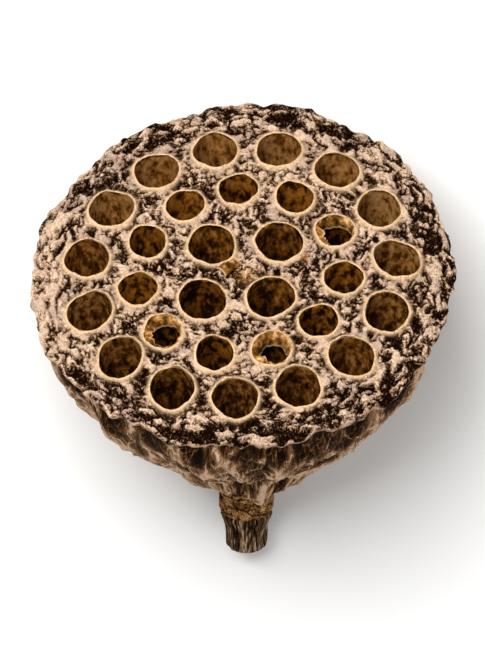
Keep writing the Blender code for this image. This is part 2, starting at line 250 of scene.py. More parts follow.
def mouth_radius(cell, angle):
    """Radius of a cell's mouth in this direction."""
    oval, turn = cell["oval"]
    corner, start = cell["corner"]
    ragged = 0.014 * np.sin(4.0 * angle + 3.0 * start) + 0.008 * np.sin(5.0 * angle + turn)
    for place, size in cell["kinks"]:
        ragged = ragged + size * np.exp(-np.abs(turned_from(place, angle) / KINK_WIDTH) ** 1.5)
    shape = 1.0 + oval * np.cos(2.0 * angle - turn) + corner * np.cos(3.0 * angle - start) + ragged
    return cell["mouth"] * shape


def cell_stand(cell, size=4):
    """The tilt of a splayed cell, and the place on the face where it stands."""
    tilt = Matrix.Rotation(cell["splay"], size, Vector((-cell["y"], cell["x"], 0.0)).normalized())
    return tilt, Vector((cell["x"], cell["y"], float(face_height(cell["x"], cell["y"]))))


print(len(CELLS), "cells, the widest mouth", max(cell["mouth"] for cell in CELLS) * 2 / MM, "mm")

# %% [markdown]
# The rim is frilled: it wanders out and in and up and down as it goes round. The wall below gathers into
# pleats that run down to the neck. Each is a sum of a few waves, so the fine skin follows the same forms as
# the solid. A wave is given as its height, how many there are in a turn, and where it starts in degrees.

# %% Rim and pleats
FRILL = 1.05 * MM
RIM_OVAL = ((1.3 * MM, 1, 66.0), (1.0 * MM, 2, 72.0), (0.5 * MM, 3, -125.0))
RIM_WAVES = ((0.40, 9, 20.0), (0.30, 16, 75.0), (0.22, 25, 10.0))
RIM_NICKS = ((0.16, 43, 200.0), (0.16, 67, 95.0), (0.13, 101, 10.0))
SAG_WAVES = ((0.5, 7, 0.0), (0.6, 13, 50.0), (0.45, 22, 120.0), (0.35, 39, 30.0), (0.25, 58, 150.0))
PLEATS = 14
PLEAT_HEIGHT = 3.3 * MM
FINE_PLEATS = 37
FINE_HEIGHT = 0.45 * MM


def waves(angle, parts):
    return sum(height * np.cos(count * angle - math.radians(start)) for height, count, start in parts)


def rim_reach(angle):
    """How far the frilled rim stands beyond its mean radius."""
    return waves(angle, RIM_OVAL) + FRILL * waves(angle, RIM_WAVES + RIM_NICKS)


def rim_sag(angle):
    """How far the frilled rim hangs below its mean height, most of all at the front."""
    front = np.maximum(0.0, -np.sin(angle)) ** 2
    return FRILL * waves(angle, SAG_WAVES) * (0.6 + 1.3 * front)


def pleat_crest(angle, share):
    """1 on the pleats' crests and 0 in the troughs between them."""
    drift = 0.35 * np.sin(3.0 * angle + 2.0) + 0.25 * np.sin(2.0 * angle + 5.0 * share)
    return np.abs(np.cos(0.5 * PLEATS * angle + drift)) ** 2.5


def pleat(angle, share):
    """Height of the gathered wall at this angle, where share runs from 0 at the rim to 1 at the neck."""
    grow = min(1.0, share / 0.3) * (1.0 - 0.45 * max(0.0, share - 0.6) / 0.4)
    crest = pleat_crest(angle, share) - 0.4
    strength = 0.75 + 0.35 * np.sin(2.0 * angle + 0.8)
    fine = np.cos(FINE_PLEATS * angle + 4.0 * np.sin(2.0 * angle) + 3.0 * share)
    return grow * (PLEAT_HEIGHT * strength * crest + FINE_HEIGHT * fine)


print("the rim's reach at the right:", (rim_reach(0.0) / MM).round(2), "mm")

# %% [markdown]
# Shrunken plant tissue is a field of lumps with sharp dark creases between them. The size of a smooth
# noise, without its sign, is such a field: it is round at its tops and sharp where the noise passes through
# zero. Two of them, one finer than the other, are added up. A third is turned over, so that its sharp lines
# stand up as folds. The points are pushed about first, so the creases wander.

# %% Crumple
LONG_PUSH = (3.0 * MM, 1.7 * MM)
SHORT_PUSH = (1.3 * MM, 0.6 * MM)
FOLD_SIZE, FOLD_SHARE = 3.4 * MM, 0.22
LUMP_SIZE, LUMP_SHARE = 2.3 * MM, 0.44
SMALL_SIZE, SMALL_SHARE = 1.1 * MM, 0.34


def noise_at(points, scale, seed):
    """Smooth noise at each point, about -1 to 1, with features of this size."""
    shift = Vector((seed * 7.3, seed * 3.1, seed * 5.7))
    return np.array([noise.noise(Vector(point) / scale + shift) for point in points])


def push(points, scale, reach, seed):
    """A smooth push in all directions, by up to about this reach."""
    return reach * np.column_stack([noise_at(points, scale, seed + k) for k in range(3)])


def billows(points, scale, seed):
    """Round lumps of about this size, 1 on their tops and 0 in the sharp creases between them."""
    return np.minimum(1.0, 2.0 * np.abs(noise_at(points, scale, seed)))


def crumpled(points, seed):
    """Height of the crumpled tissue, 0 in the deepest creases and about 1 on the crests."""
    moved = points + push(points, *LONG_PUSH, seed + 1) + push(points, *SHORT_PUSH, seed + 7)
    folds = 1.0 - billows(moved, FOLD_SIZE, seed + 4)
    lumps = billows(moved, LUMP_SIZE, seed + 5)
    return FOLD_SHARE * folds + LUMP_SHARE * lumps + SMALL_SHARE * billows(moved, SMALL_SIZE, seed + 6)


def ranked(value):
    """Each value's share of the way up from the lowest to the highest, so 0.3 is higher than 30% of them."""
    share = np.empty(len(value))
    share[np.argsort(value)] = np.linspace(0.0, 1.0, len(value))
    return share


print("crumple at the middle:", crumpled(np.zeros((1, 3)), 11).round(3))

# %% [markdown]
# Holes cut in a grid would have ragged edges at this size. The points are placed first instead: rings of
# them round each mouth, so that the thin lip is crisp, a ring along the rim and loose points between.

# %% Points of the face
MOUTH_POINTS = 72
LIP_RINGS = tuple(distance * MM for distance in (0.0, 0.2, 0.42, 0.7, 1.05, 1.5))
RING_SLACK = 0.05 * MM
SPACING = 0.4 * MM
JITTER = 0.16
GRID_REACH = 1.2 * RIM_RADIUS
RIM_POINTS = 420
AROUND_MOUTH = np.linspace(0.0, 2.0 * math.pi, MOUTH_POINTS, endpoint=False)
AROUND_RIM = np.linspace(-math.pi, math.pi, RIM_POINTS, endpoint=False)


def cell_distance(x, y):
    """Distance to the nearest mouth's edge, and which cell it is."""
    best = np.full(x.shape, 1.0)
    which = np.zeros(x.shape, int)
    for index, cell in enumerate(CELLS):
        dx, dy = x - cell["x"], y - cell["y"]
        gap = np.hypot(dx, dy) - mouth_radius(cell, np.arctan2(dy, dx))
        nearer = gap < best
        best[nearer] = gap[nearer]
        which[nearer] = index
    return best, which


def loose_points():
    """A triangular grid inside the rim and clear of the lips, each point moved a little at random."""
    rows = int(2.0 * GRID_REACH / (SPACING * math.sqrt(0.75)))
    columns = int(2.0 * GRID_REACH / SPACING)
    row, column = np.mgrid[0:rows, 0:columns]
    x = (column + 0.5 * (row % 2)) * SPACING - GRID_REACH
    y = row * SPACING * math.sqrt(0.75) - GRID_REACH
    move = np.random.default_rng(7).uniform(-JITTER, JITTER, (rows * columns, 2))
    loose = np.column_stack([x.ravel(), y.ravel()]) + move * SPACING
    angle = np.arctan2(loose[:, 1], loose[:, 0])
    gap, _ = cell_distance(loose[:, 0], loose[:, 1])
    inside = np.hypot(loose[:, 0], loose[:, 1]) < RIM_RADIUS + rim_reach(angle) - 0.7 * SPACING
    return loose[inside & (gap > LIP_RINGS[-1] + 0.6 * SPACING)]


def face_points():
    """Points of the face: each cell's mouth first, in order, then the rim, then all the rest."""
    mouths = []
    rings = []
    for index, cell in enumerate(CELLS):
        for number, distance in enumerate(LIP_RINGS):
            turned = AROUND_MOUTH + (0.5 * number % 1.0) * 2.0 * math.pi / MOUTH_POINTS
            ring = circle(mouth_radius(cell, turned) + distance, turned) + (cell["x"], cell["y"])
            if number == 0:
                mouths.append(ring)
                continue
            gap, which = cell_distance(ring[:, 0], ring[:, 1])
            rings.append(ring[(which == index) & (gap > distance - RING_SLACK)])
    rim = circle(RIM_RADIUS + rim_reach(AROUND_RIM), AROUND_RIM)
    return np.concatenate(mouths + [rim] + rings + [loose_points()])


FACE_XY = face_points()
print(len(FACE_XY), "points on the face")

# %% [markdown]
# The points could be joined ring by ring, but Delaunay triangulation does it in one go and keeps the
# triangles well shaped. A triangle whose corners all lie on one mouth would close that mouth, and one beyond
# the rim isn't part of the face, so both are dropped.

# %% Join the points into triangles
def face_triangles(points):
    """Delaunay triangles of the face, without those inside a mouth or beyond the rim."""
    result = geometry.delaunay_2d_cdt([Vector(point) / MM for point in points], [], [], 0, 1e-5)
    triangles = np.array([[result[3][corner][0] for corner in triangle] for triangle in result[2]])
    mouth_points = len(CELLS) * MOUTH_POINTS
    owner = np.where(triangles < mouth_points, triangles // MOUTH_POINTS, -1 - triangles)
    in_mouth = (owner[:, 0] == owner[:, 1]) & (owner[:, 1] == owner[:, 2])
    middle = points[triangles].mean(axis=1)
    angle = np.arctan2(middle[:, 1], middle[:, 0])
    all_rim = ((triangles >= mouth_points) & (triangles < mouth_points + RIM_POINTS)).all(axis=1)
    edge = RIM_RADIUS + rim_reach(angle) - 0.02 * MM
    return triangles[~in_mouth & ~(all_rim & (np.hypot(middle[:, 0], middle[:, 1]) > edge))]


FACE_TRIANGLES = face_triangles(FACE_XY)
print(len(FACE_TRIANGLES), "triangles on the face")

# %% [markdown]
# The face's points now get their heights. The face is a gentle dome that falls away to the rim. Round each
# mouth it rises into a mound with a thin lip at its top, and everywhere else the crumple takes over. Near
# the rim the crumple is wrapped round the pod, so its creases are drawn out along the edge.
#
# Four numbers are kept for the colours: how pale a point is among all the others, how near it is to a lip,
# whether it lies in one of three rusty patches where skin was torn off, and how smooth the mound is there.
# How pale a point is follows the crumple's height, which paints light on the crests and shade in the creases,
# and the face is painted lighter towards -x and darker at the front, as the light falls.

# %% Heights of the face
FACE_OUTLINE = (
    (0.0, 0.2), (26.5, 0.0), (33.5, -0.1), (40.0, -0.3), (46.5, -0.7), (50.6, -1.4), (53.2, -2.1),
    (54.4, -2.9),
)
MOUND_HEIGHT = 0.7 * MM
MOUND_REACH = 2.4 * MM
LIP_MIDDLE = 0.2 * MM
LIP_REACH = 0.42 * MM
SMOOTH_REACH = 2.2 * MM
CRUMPLE_HEIGHT = 2.5 * MM
CRUMPLE_MIDDLE = 0.40
RIM_CURL = 0.35 * MM
WRINKLE_GIRTH = 26.0 * MM
FACE_SEED, EDGE_SEED = 11, 25
RUST_PATCHES = (
    (1.4 * MM, -0.9 * MM, 2.3 * MM),
    (16.6 * MM, 4.6 * MM, 1.2 * MM),
    (-18.5 * MM, -16.0 * MM, 1.8 * MM),
)


def near_rim(radius, height):
    """How much the rim's frill still matters at this radius and height."""
    return np.clip((radius / RIM_RADIUS - 0.8) / 0.18, 0.0, 1.0) * np.maximum(0.0, 1.0 + height / (26.0 * MM))


def splay_tilt(xy, gap, which):
    """How far the face leans with the mouth of a splayed cell."""
    splay = np.array([cell["splay"] for cell in CELLS])[which]
    centre = np.array([(cell["x"], cell["y"]) for cell in CELLS])[which]
    outward = centre / np.linalg.norm(centre, axis=1)[:, None]
    return -np.sin(splay) * ((xy - centre) * outward).sum(axis=1) * np.exp(-gap / (2.0 * MM))


def face_surface(xy):
    """The face's points in the straight head, and the numbers for their colours."""
    x, y = xy[:, 0], xy[:, 1]
    angle, reach = np.arctan2(y, x), np.hypot(x, y)
    radius = reach * RIM_RADIUS / (RIM_RADIUS + rim_reach(angle) * near_rim(reach, 0.0))
    outline = np.array(FACE_OUTLINE) * MM
    height = np.interp(radius, outline[:, 0], outline[:, 1])
    gap, which = cell_distance(x, y)
    flat = np.column_stack([xy, np.zeros_like(x)])
    outer = smooth_step(24.0 * MM, 34.0 * MM, radius)
    wrapped = circle_at(radius, WRINKLE_GIRTH, angle)
    raised = crumpled(flat, FACE_SEED) * (1.0 - outer) + crumpled(wrapped, EDGE_SEED) * outer
    rough = smooth_step(0.4 * MM, 2.6 * MM, gap)
    edge = smooth_step(45.0 * MM, 49.0 * MM, radius)
    brim = smooth_step(53.4 * MM, 54.3 * MM, radius)

    mound = MOUND_HEIGHT * bell(gap, MOUND_REACH)
    mound += (LIP_HEIGHT - MOUND_HEIGHT) * bell(gap - LIP_MIDDLE, LIP_REACH)
    uneven = 1.0 + 0.45 * noise_at(flat, 2.2 * MM, 31)
    fold = (raised - CRUMPLE_MIDDLE) * CRUMPLE_HEIGHT * (0.12 + 0.88 * rough) * (1.0 + 0.2 * edge)
    z = height - rim_sag(angle) * near_rim(reach, height) + mound * uneven
    z += splay_tilt(xy, gap, which) + fold * (1.0 - 0.45 * brim) + RIM_CURL * brim

    shore = bell(gap, 1.7 * MM)
    # Painted light on the -x side of the face and painted shade on its front, the -y side.
    painted_light_west = edge * smooth_step(0.6, 1.0, -np.cos(angle))
    painted_shade_front = edge * smooth_step(0.5, 1.0, -np.sin(angle))
    # Paleness follows the crumple's height: painted light on the crests and painted shade in the creases.
    pale = raised * (0.3 + 0.7 * rough) + 0.25 * (1.0 - rough) + 0.14 * shore - 0.02 * edge
    pale += 0.12 * noise_at(flat, 6.5 * MM, 41) + 0.14 * painted_light_west - 0.06 * painted_shade_front
    pale += brim * (0.06 + 0.25 * noise_at(flat, 2.5 * MM, 42))
    rust = np.zeros_like(x)
    for rust_x, rust_y, size in RUST_PATCHES:
        rust = np.maximum(rust, bell(np.hypot(x - rust_x, y - rust_y), size))
    near_lip = bell(np.maximum(gap - 0.25 * MM, 0.0), 0.5 * MM)
    values = {"raised": ranked(pale), "lip": near_lip, "rust": rust, "smooth": bell(gap, SMOOTH_REACH)}
    return np.column_stack([x, y, z]), {**values, "grain": flat}


FACE, FACE_VALUES = face_surface(FACE_XY)
print("face heights in mm:", (FACE[:, 2].min() / MM).round(2), "to", (FACE[:, 2].max() / MM).round(2))

# %% [markdown]
# Each cell goes down from its lip like half an egg, splayed a little outwards. Its lining is smooth with
# faint grooves down it. The grooves, and later the streaks of colour, are read from coordinates that are
# squashed along the cell, so that round spots become long streaks.

# %% Walls of the cells
ROW_DEPTHS = (0.012, 0.07, 0.17, 0.30, 0.45, 0.60, 0.75, 0.88, 0.965)
CELL_ROUND = 2.4
GROOVE = 0.22 * MM
ALONG_CELL = 0.65
STREAK_STEP = 9.0 * MM


def cell_wall(index, cell):
    """Rows of points down one cell, without the mouth itself, and the numbers for their colours."""
    rim = mouth_radius(cell, AROUND_MOUTH)
    full = CELL_DEPTH + LIP_HEIGHT
    tilt, place = cell_stand(cell, 3)
    rows = []
    grain = []
    for share in ROW_DEPTHS:
        squashed = circle_at(full * share * ALONG_CELL + index * STREAK_STEP, rim, AROUND_MOUTH)
        bumps = noise_at(squashed, 1.5 * MM, 51) + 0.6 * noise_at(squashed, 4.0 * MM, 52)
        radius = rim * math.sqrt(1.0 - share**CELL_ROUND) + GROOVE * bumps * min(1.0, 3.0 * share)
        local = circle_at(LIP_HEIGHT - full * share, radius, AROUND_MOUTH)
        rows.append(local @ np.array(tilt).T + np.array(place))
        grain.append(squashed)
    rows.append(np.array([tilt @ Vector((0.0, 0.0, LIP_HEIGHT - full)) + place]))
    grain.append(np.array([[0.0, 0.0, full * ALONG_CELL + index * STREAK_STEP]]))
    values = {"raised": 0.8, "lining": 1.0, "depth": np.append(np.repeat(ROW_DEPTHS, MOUTH_POINTS), 1.0)}
    values.update({"amber": cell["amber"], "shade_and_stain": cell["shade_and_stain"], "grain": np.concatenate(grain)})
    return np.concatenate(rows), values


CELL_WALLS = [cell_wall(index, cell) for index, cell in enumerate(CELLS)]
print(len(CELL_WALLS), "cell walls of", len(CELL_WALLS[0][0]), "points")

# %% [markdown]
# The wall below the rim is turned from a half section and then pleated. The rim is a thin edge that
# overhangs it by 2 mm, so the section turns in sharply under the rim. Over the pleats lies a net of raised
# veins, drawn out along the wall, with lumps between them. Shade is painted into the hollows under the rim,
# below the rim between the pleats and beside the long fold, and light onto the pleats' crests. At the front
# two ridges start apart under the rim and meet in one long fold, which hangs over the collar; light is
# painted onto them.

# %% The pleated wall
WALL_OUTLINE = (
    (54.4, -2.9), (54.2, -3.5), (53.3, -4.3), (52.3, -5.8), (51.7, -8.0), (51.5, -10.5), (50.6, -15.0),
    (48.6, -21.0), (46.0, -27.5), (43.0, -34.0), (39.3, -40.5), (34.8, -47.0), (29.8, -53.0), (25.2, -59.0),
    (22.0, -64.5), (18.6, -69.0), (13.6, -72.2), (9.6, -73.5),
)
WALL_ROWS = 80
VEIN_HEIGHT = 0.6 * MM
FINE_VEIN_HEIGHT = 0.35 * MM
LUMP_HEIGHT = 0.45 * MM
VEIN_GIRTH = 38.0 * MM
ALONG_WALL = 0.17
FOLD_ANGLE = math.radians(-79.0)
FOLD_WIDTH = math.radians(17.0)
FOLD_LENGTH = 2.4 * MM
FOLD_SWELL = 0.6 * MM
FOLD_TOP = 58.0 * MM
RIDGE_HEIGHT = 1.5 * MM
RIDGE_STARTS = (math.radians(-98.0), math.radians(-80.0))
RIDGE_WIDTHS = (math.radians(1.2), math.radians(3.0))
SHADE_WIDTH = math.radians(24.0)
# Painted shadows in the hollows under the rim: their places and widths in degrees.
HOLLOW_SHADOWS = (
    (-103.0, 4.0), (-79.0, 3.0), (-70.0, 3.5), (-56.5, 4.5), (-37.0, 4.0), (-116.0, 2.5), (-131.0, 3.5),
    (-147.0, 3.0),
)


def smooth_outline(outline, count):
    """Points along a smooth line through the outline's own, and the length run so far."""
    knots = np.array(outline) * MM
    ends = np.concatenate([[2 * knots[0] - knots[1]], knots, [2 * knots[-1] - knots[-2]]])
    line = []
    for before, start, end, after in zip(ends, ends[1:], ends[2:], ends[3:]):
        for share in np.linspace(0.0, 1.0, 24, endpoint=False):
            bend = (2 * before - 5 * start + 4 * end - after) * share**2
            bend += (3 * start - before - 3 * end + after) * share**3
            line.append(start + 0.5 * ((end - before) * share + bend))
    line = np.array(line + [knots[-1]])
    run = np.concatenate([[0.0], np.cumsum(np.linalg.norm(np.diff(line, axis=0), axis=1))])
    share = np.linspace(0.0, 1.0, count)
    even = run[-1] * (0.35 * share**2 + 0.65 * share)
    return np.column_stack([np.interp(even, run, line[:, 0]), np.interp(even, run, line[:, 1])]), even


def veins(points, scale, width, seed):
    """1 along a net of thin lines and 0 between them."""
    return 1.0 - smooth_step(0.0, width, np.abs(noise_at(points, scale, seed)))


def under_rim(length, low, high):
    """1 just under the rim, fading out from one distance below it to another."""
    return smooth_step(0.6 * MM, 2.0 * MM, length) * (1.0 - smooth_step(low, high, length))


def two_ridges(angle, share):
    """1 along the two ridges that start apart under the rim and meet in the long fold."""
    width = RIDGE_WIDTHS[0] + (RIDGE_WIDTHS[1] - RIDGE_WIDTHS[0]) * share
    ridges = sum(bell(angle - start - (FOLD_ANGLE - start) * share, width) for start in RIDGE_STARTS)
    return ridges * smooth_step(0.03, 0.12, share)


def wall_row(radius, height, out, up, length):
    """One row of the wall, how raised its points are and where their grain lies."""
    angle = AROUND_RIM
    share = max(0.0, (-height - RIM_DROP) / (HEAD_DEPTH - RIM_DROP))
    frill = near_rim(radius, height)
    taper = min(1.0, radius / (22.0 * MM))
    grain = circle_at(length * ALONG_WALL, VEIN_GIRTH, angle)
    moved = grain + push(grain, 3.2 * MM, 1.5 * MM, 60)
    coarse = veins(moved, 5.0 * MM, 0.16, 64)
    fine = veins(moved, 2.6 * MM, 0.22, 65)
    lumps = billows(moved, 2.4 * MM, 66)
    ridges = two_ridges(angle, share)
    fold = bell(turned_from(FOLD_ANGLE, angle), FOLD_WIDTH) * smooth_step(FOLD_TOP, HEAD_DEPTH, -height)

    relief = VEIN_HEIGHT * coarse + FINE_VEIN_HEIGHT * fine + LUMP_HEIGHT * (lumps - 0.4)
    relief *= (0.3 + 0.7 * taper) * smooth_step(0.0, 3.0 * MM, length)
    reach = rim_reach(angle) * frill + pleat(angle, share) * taper + RIDGE_HEIGHT * ridges
    sag = rim_sag(angle) * frill * (1.0 if share < 0.05 else 0.5)
    r = radius + reach + out * relief + FOLD_SWELL * fold
    points = circle_at(height - sag + up * relief - FOLD_LENGTH * fold, r, angle)

    # The tone paints light on the pleats' crests, the two ridges and the fold, and shade in the hollows under
    # the rim, below the rim between the crests and beside the fold.
    crest = pleat_crest(angle, share)
    hollow_shadow = sum(bell(angle - math.radians(place), math.radians(width)) for place, width in HOLLOW_SHADOWS)
    hollow_shadow *= under_rim(length, 7.0 * MM, 24.0 * MM)
    shade = bell(angle - FOLD_ANGLE, SHADE_WIDTH) * smooth_step(0.1, 0.5, share)
    raised = 0.34 * coarse + 0.26 * fine + 0.22 * lumps + 0.30 * crest
    raised -= 0.22 * under_rim(length, 5.0 * MM, 15.0 * MM) * (1.0 - crest)
    raised += 0.48 * ridges * (0.5 + 0.5 * lumps) - 0.9 * hollow_shadow - 0.32 * shade
    raised += 0.9 * (1.0 - smooth_step(0.2 * MM, 0.9 * MM, length)) + 0.25 * fold
    return points, raised, grain


def pleated_wall():
    """Rows of points down the wall, without the rim itself, and the numbers for their colours."""
    section, run = smooth_outline(WALL_OUTLINE, WALL_ROWS + 1)
    slope = np.gradient(section, axis=0)
    normal = np.column_stack([-slope[:, 1], slope[:, 0]]) / np.linalg.norm(slope, axis=1)[:, None]
    rows = [wall_row(*place, *facing, length) for place, facing, length in zip(section, normal, run)][1:]
    points, raised, grain = (np.concatenate(column) for column in zip(*rows))
    return points, {"raised": ranked(raised), "wall": 1.0, "grain": grain}


WALL, WALL_VALUES = pleated_wall()
print(len(WALL), "points on the wall")

# %% [markdown]
# The sheet of the face, the thirty cell walls and the pleated wall share their edges, so they join into one
# closed skin with no seam. The socket for the stem closes it at the neck. The points are kept in stretches,
# and a number that a stretch doesn't give is 0 there.

# %% Join the skin
NUMBERS = ("raised", "lip", "lining", "depth", "wall", "amber", "shade_and_stain", "rust", "smooth")


def band(upper, lower):
    """Quads between two closed rows of as many points."""
    return np.stack([upper, np.roll(upper, -1), np.roll(lower, -1), lower], axis=1).tolist()


def curtain(above, start, rows):
    """Quads that hang from a closed row of points down to the next rows, and triangles to one last point."""
    faces = []
    for row in range(rows):
        below = start + row * len(above) + np.arange(len(above))
        faces += band(below, above)
        above = below
    last = start + rows * len(above)
    return faces + [(int(a), int(b), last) for a, b in zip(above, np.roll(above, -1))]


def skin_faces():
    """The face's triangles, the cells that hang from its mouths, and the wall that hangs from its rim."""
    faces = FACE_TRIANGLES.tolist()
    start = len(FACE)
    for index, (rows, _) in enumerate(CELL_WALLS):
        faces += curtain(np.arange(MOUTH_POINTS) + index * MOUTH_POINTS, start, len(ROW_DEPTHS))
        start += len(rows)
    return faces + curtain(np.arange(RIM_POINTS) + len(CELLS) * MOUTH_POINTS, start, WALL_ROWS + 2)


def socket():
    """The two rows and the middle point of the socket."""
    radius = COLLAR_RADIUS + CLEARANCE
    rows = [circle_at(height, radius, AROUND_RIM) for height in (-HEAD_DEPTH, SOCKET_DEPTH - HEAD_DEPTH)]
    return np.concatenate(rows + [[[0.0, 0.0, SOCKET_DEPTH - HEAD_DEPTH]]]), {"raised": 0.2, "wall": 1.0}


def store(mesh, values):
    """Keeps a number or a vector for each point, where the materials can read it."""
    for name, value in values.items():
        kind, field = ("FLOAT", "value") if value.ndim == 1 else ("FLOAT_VECTOR", "vector")
        mesh.attributes.new(name, kind, "POINT").data.foreach_set(field, value.astype(np.float32).ravel())


def build_skin():
    stretches = [(FACE, FACE_VALUES)] + CELL_WALLS + [(WALL, WALL_VALUES), socket()]
    mesh = bpy.data.meshes.new("head_skin")
    points = np.concatenate([points for points, _ in stretches])
    mesh.from_pydata(laid(nodded(points)).tolist(), [], skin_faces())
    for name in NUMBERS + ("grain",):
        parts = [
            np.broadcast_to(given.get(name, 0.0), points.shape if name == "grain" else len(points))
            for points, given in stretches
        ]
        store(mesh, {name: np.concatenate(parts)})
    mesh.shade_smooth()
    return add_object("head_skin", mesh)


head_skin = build_skin()
print("head_skin:", len(head_skin.data.vertices), "points,", len(head_skin.data.polygons), "faces")

# %% [markdown]
# The collar and the stub below it are one grown stalk. A flat grid is rolled up into it: one side of the
# grid runs round the stalk, the other follows its half section from the top, down the outside, to the cut
# end. The collar is dented and ringed by the scars of the stamens. The stub's bark is torn loose at its
# top, split by long cracks, and the pith shows at the cut.

# %% Stem
STEM_AROUND = 288
STEM_ROWS = 170
STEM_STEPS = 600
STEM_OUTLINE = (
    (0.0, 1.65), (6.0, 1.65), (7.0, 1.2), (7.3, 0.0), (7.35, -2.7), (7.05, -5.6), (7.2, -8.3), (7.15, -10.6),
    (6.85, -11.4), (6.2, -12.1), (6.75, -12.4), (6.75, -13.0), (6.3, -14.2), (5.9, -15.2), (5.5, -17.2),
    (5.4, -20.8), (5.25, -21.9), (4.9, -22.6), (4.3, -23.0), (3.4, -22.95), (2.2, -22.7), (1.0, -22.65),
    (0.0, -22.65),
)
BARK_TOP = -11.8 * MM
CRACK_DEPTH = 0.75 * MM
STUB_RIDGE, STRAND_HEIGHT = 0.2 * MM, 0.22 * MM
WRINKLE_HEIGHT = 0.17 * MM
SCAR_DEPTH = 0.3 * MM
SKIRT = 12.4 * MM
ALONG_STUB = 0.16
SEAM = 1e-6


def roll_up(name, columns, rows, place_point, thickness=0.0):
    """A grid whose points place_point moves, merged where its sides meet. Solidify can make it thicker."""
    bpy.ops.object.select_all(action="DESELECT")
    bpy.ops.mesh.primitive_grid_add(x_subdivisions=columns, y_subdivisions=rows, size=2.0, location=(0, 0, 0))
    piece = bpy.context.object
    piece.name = name
    mesh = piece.data
    mesh.name = name
    grid = np.empty(len(mesh.vertices) * 3)
    mesh.vertices.foreach_get("co", grid)
    grid = grid.reshape(-1, 3)
    points, values = place_point((grid[:, 0] + 1.0) / 2.0, (grid[:, 1] + 1.0) / 2.0)
    mesh.vertices.foreach_set("co", points.astype(np.float32).ravel())
    store(mesh, values)
    bpy.ops.object.mode_set(mode="EDIT")
    bpy.ops.mesh.select_all(action="SELECT")
    bpy.ops.mesh.remove_doubles(threshold=SEAM)
    bpy.ops.mesh.normals_make_consistent(inside=False)
    bpy.ops.object.mode_set(mode="OBJECT")
    if thickness > 0.0:
        solid = piece.modifiers.new("thickness", "SOLIDIFY")
        solid.thickness = thickness
        solid.offset = 0.0
        bpy.ops.object.modifier_apply(modifier=solid.name)
    piece.data.shade_smooth()
    return piece


def turn_of(across):
    """The angle round a rolled grid. Both sides of its seam are at 0."""
    return np.where(across > 1.0 - SEAM, 0.0, across * 2.0 * math.pi)


def stem_points(across, along):
    """The stalk's skin, and how much of it is stub, how raised it is and where its grain lies."""
    outline, _ = smooth_outline(STEM_OUTLINE, STEM_STEPS)
    share = np.linspace(0.0, 1.0, STEM_STEPS)
    radius = np.interp(along, share, outline[:, 0])
    radius[(along < SEAM) | (along > 1.0 - SEAM)] = 0.0
    height = np.interp(along, share, outline[:, 1])
    angle = turn_of(across)
    bark = 1.0 - smooth_step(BARK_TOP - 0.7 * MM, BARK_TOP, height)
    side = smooth_step(3.0 * MM, 4.6 * MM, radius) * (1.0 - smooth_step(0.6 * MM, 1.2 * MM, height))

    stub_grain = circle_at(height * ALONG_STUB, 1.25 * STUB_RADIUS, angle)
    moved = stub_grain + push(stub_grain, 2.2 * MM, 0.8 * MM, 80)
    cracks = veins(moved, 1.7 * MM, 0.20, 84) * smooth_step(-0.35, 0.15, noise_at(stub_grain, 4.0 * MM, 85))
    strands = 0.6 * noise_at(moved, 0.8 * MM, 86) + 0.6 * noise_at(stub_grain, 0.4 * MM, 91)
    ridge = np.cos(15.0 * angle + 1.6 * np.sin(3.0 * angle)) * (0.6 + 0.4 * np.sin(2.0 * angle + 1.0))
    torn = noise_at(circle_at(0.0, STUB_RADIUS, angle), 1.6 * MM, 87)

    collar_grain = circle_at(height, 1.3 * STUB_RADIUS, angle)
    wrinkles = noise_at(collar_grain, 2.4 * MM, 88) + 0.7 * noise_at(collar_grain, 0.9 * MM, 89)
    pits = smooth_step(0.30, 0.55, noise_at(collar_grain, 0.8 * MM, 90))
    scars = veins(circle_at(height * 1.6, 0.5 * STUB_RADIUS, angle), 2.6 * MM, 0.12, 92)

    rise = bark * (STUB_RIDGE * ridge - CRACK_DEPTH * cracks + STRAND_HEIGHT * strands)
    rise += (1.0 - bark) * (WRINKLE_HEIGHT * wrinkles - SCAR_DEPTH * (pits + scars))
    rise += 0.3 * MM * torn * bell(height + SKIRT, 0.8 * MM)
    z = height + 0.45 * MM * torn * bell(height + SKIRT, 1.2 * MM) * side
    reach = np.where(radius > 0.0, radius + side * rise, 0.0)
    # The tone follows the relief: painted shade in the stub's cracks and the collar's pits and scars, painted
    # light on the ridges and raised strands. The scars are darker in their own colour too.
    on_stub = 0.52 + 0.10 * ridge + 0.65 * strands - 0.75 * cracks + 0.25 * torn
    on_collar = 0.60 + 0.28 * wrinkles - 0.7 * pits - 0.6 * scars
    raised = np.clip(on_stub * bark + on_collar * (1.0 - bark), 0.0, 1.0)
    grain = np.where(bark[:, None] > 0.5, stub_grain, collar_grain)
    values = {"bark": bark, "raised": raised, "cut": (1.0 - side) * bark, "grain": grain}
    return circle_at(z, reach, angle), values


def make_stem():
    stalk = roll_up("stem_skin", STEM_AROUND, STEM_ROWS, stem_points)
    right, aside, down, lean = axis_at(HEAD_DEPTH)
    stalk.data.transform(LYING @ Matrix.Translation((right, aside, down)) @ Matrix.Rotation(-lean, 4, "X"))
    return stalk


stem_skin = make_stem()
print("stem_skin:", len(stem_skin.data.polygons), "faces")

# %% [markdown]
# Three cells are still half shut by the papery skin that once sealed them. What is left hangs from the lip
# like a funnel, deep on the far side, and on the near side only crumbs of it stand up. It is rolled up from
# a grid like the stem, and Solidify gives it its thickness.

